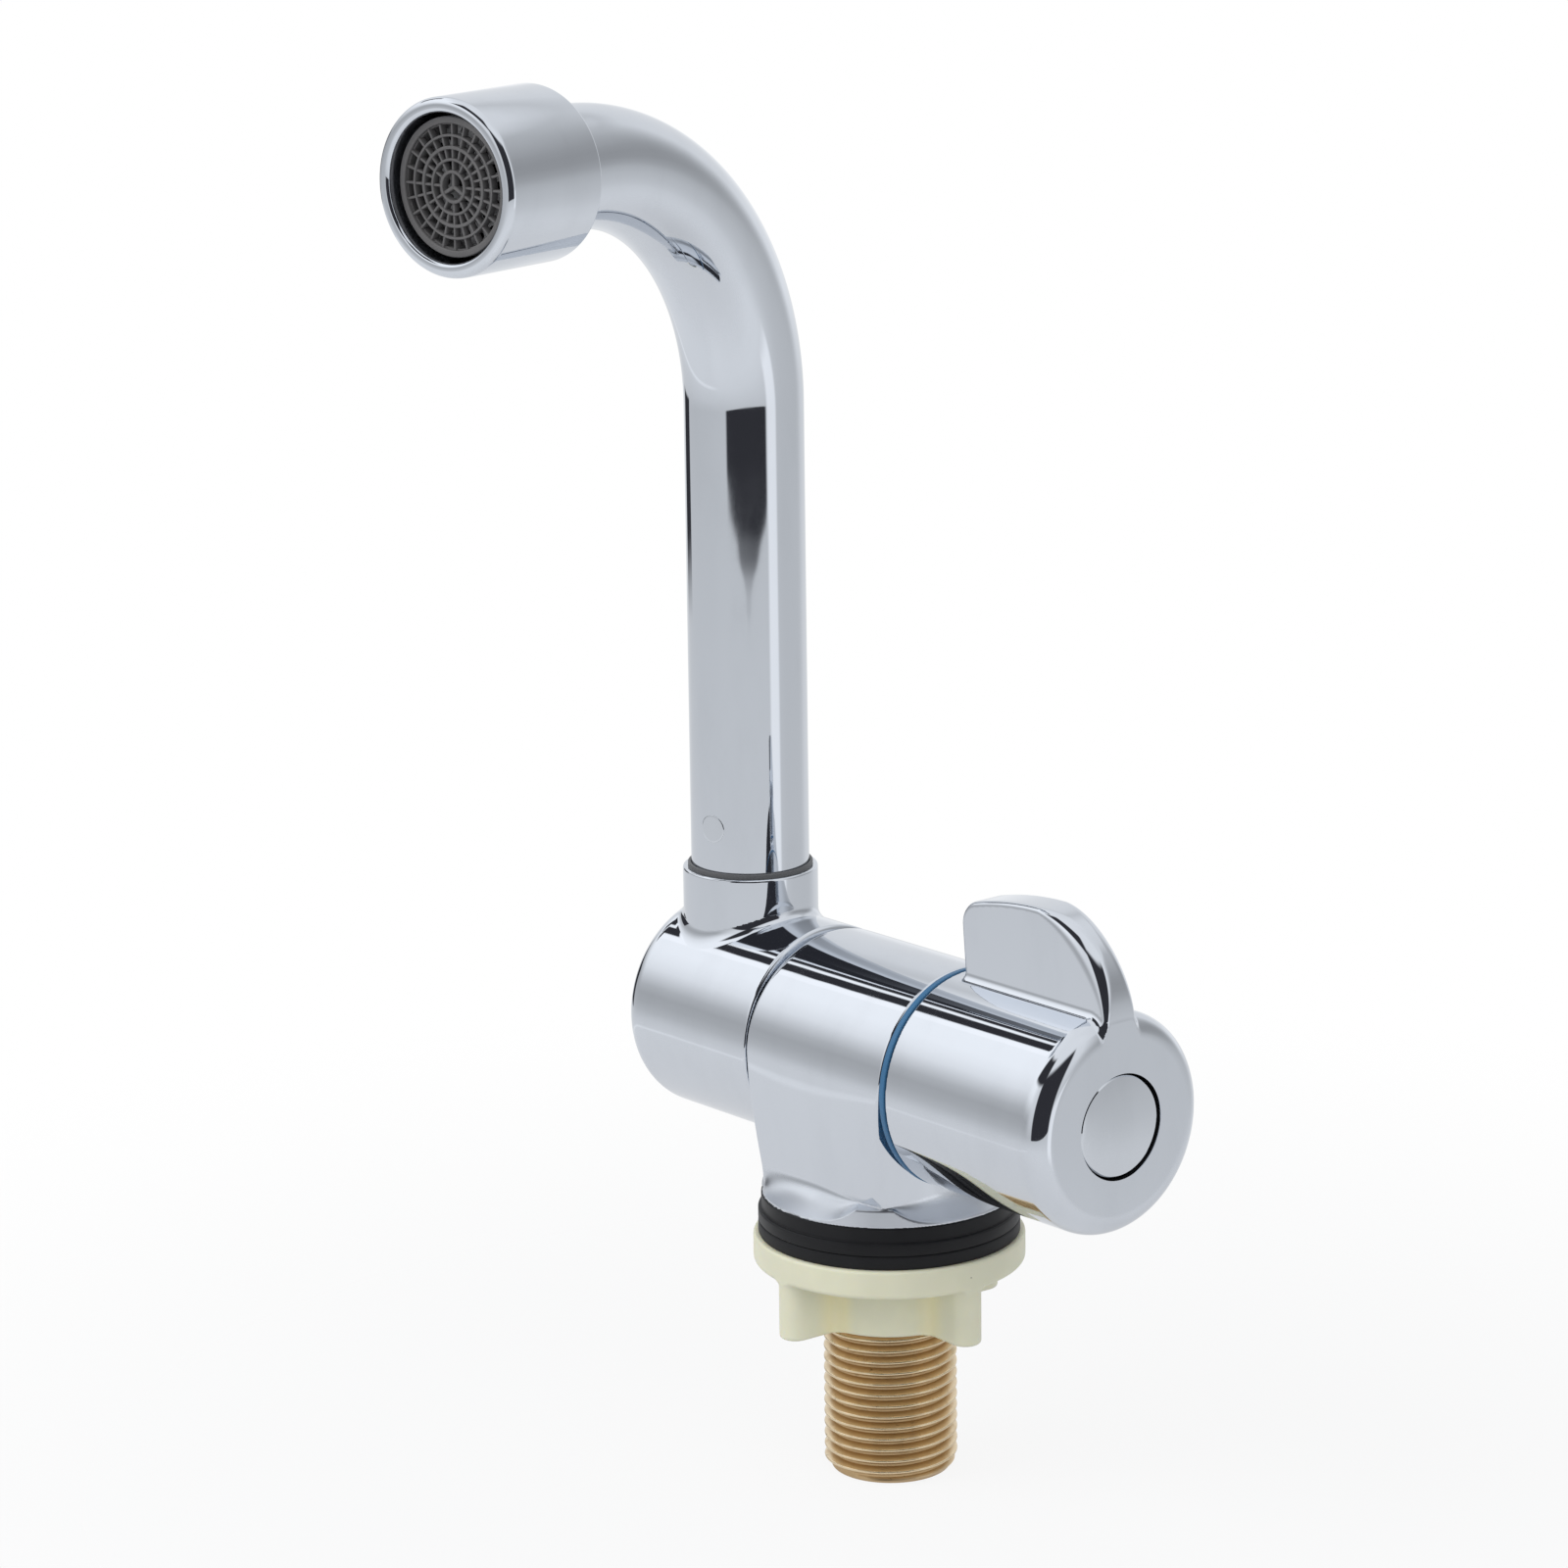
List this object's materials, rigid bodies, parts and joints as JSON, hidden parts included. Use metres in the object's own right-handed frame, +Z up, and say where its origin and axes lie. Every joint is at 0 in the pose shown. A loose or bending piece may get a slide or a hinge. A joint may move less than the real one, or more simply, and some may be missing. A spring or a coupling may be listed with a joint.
{
  "type": "folding caravan tap",
  "caption": "Chromed folding tap with a lever knob on a barrel body, a bent spout that folds and swivels, and a threaded shank with a winged back nut.",
  "frame": {"origin": "on the shank's axis at the worktop's top face, which is the underside of the base gasket", "axes": "+Z up along the shank, +X along the barrel from the hub to the knob, the spout's arm reaches towards -Y"},
  "size_m": [0.097, 0.0901, 0.2204],
  "materials": {
    "chrome": "mirror-bright chrome plating",
    "chrome_plastic": "chrome-plated trim",
    "brass": "raw machined",
    "steel": "machined",
    "black_plastic": "satin moulding",
    "black_rubber": "matt",
    "blue_plastic": "semi-gloss moulding",
    "grey_plastic": "satin moulding",
    "white_plastic": "slippery",
    "white_ceramic": "lapped",
    "cream_plastic": "waxy moulding"
  },
  "bodies": {
    "body": {"valve_body": "chrome", "base_ring": "black_plastic", "base_gasket": "black_rubber", "threaded_shank": "brass", "shank_seal": "black_rubber", "hinge_spigot": "brass", "hub_seals": "black_rubber", "retaining_screw": "steel", "retaining_washer": "steel", "indicator_ring": "blue_plastic", "cartridge_housing": "brass", "cartridge_seal": "black_rubber", "fixed_disc": "white_ceramic", "gland_nut": "brass"},
    "handle": {"handle_knob": "chrome", "index_cap": "chrome_plastic", "handle_screw": "steel", "cartridge_spindle": "brass", "moving_disc": "white_ceramic", "spindle_seal": "black_rubber"},
    "hub": {"spout_hub": "chrome", "friction_washer": "white_plastic", "hub_end_cap": "chrome_plastic", "collar_bush": "grey_plastic"},
    "spout": {"spout_tube": "chrome", "spout_insert": "brass", "spout_pin": "chrome", "spout_clip": "steel", "spout_seal": "black_rubber", "aerator_housing": "chrome", "aerator_washer": "black_rubber", "aerator_cage": "grey_plastic", "aerator_screen": "steel", "aerator_grille": "grey_plastic"},
    "nut": {"backnut": "cream_plastic"}
  },
  "joints": [
    {"name": "handle_turn", "type": "hinge", "parent": "body", "child": "handle", "pos_m": [0, 0, 0.0288], "axis": [1, 0, 0], "range_deg": [0, 90]},
    {"name": "spout_fold", "type": "hinge", "parent": "body", "child": "hub", "pos_m": [0, 0, 0.0288], "axis": [1, 0, 0], "range_deg": [-90, 90]},
    {"name": "spout_swivel", "type": "hinge", "parent": "hub", "child": "spout", "pos_m": [-0.0326, 0, 0.0527], "axis": [0, 0, 1], "continuous": true},
    {"name": "nut_travel", "type": "slide", "parent": "body", "child": "nut", "axis": [0, 0, -1], "range_m": [0, 0.024]}
  ]
}
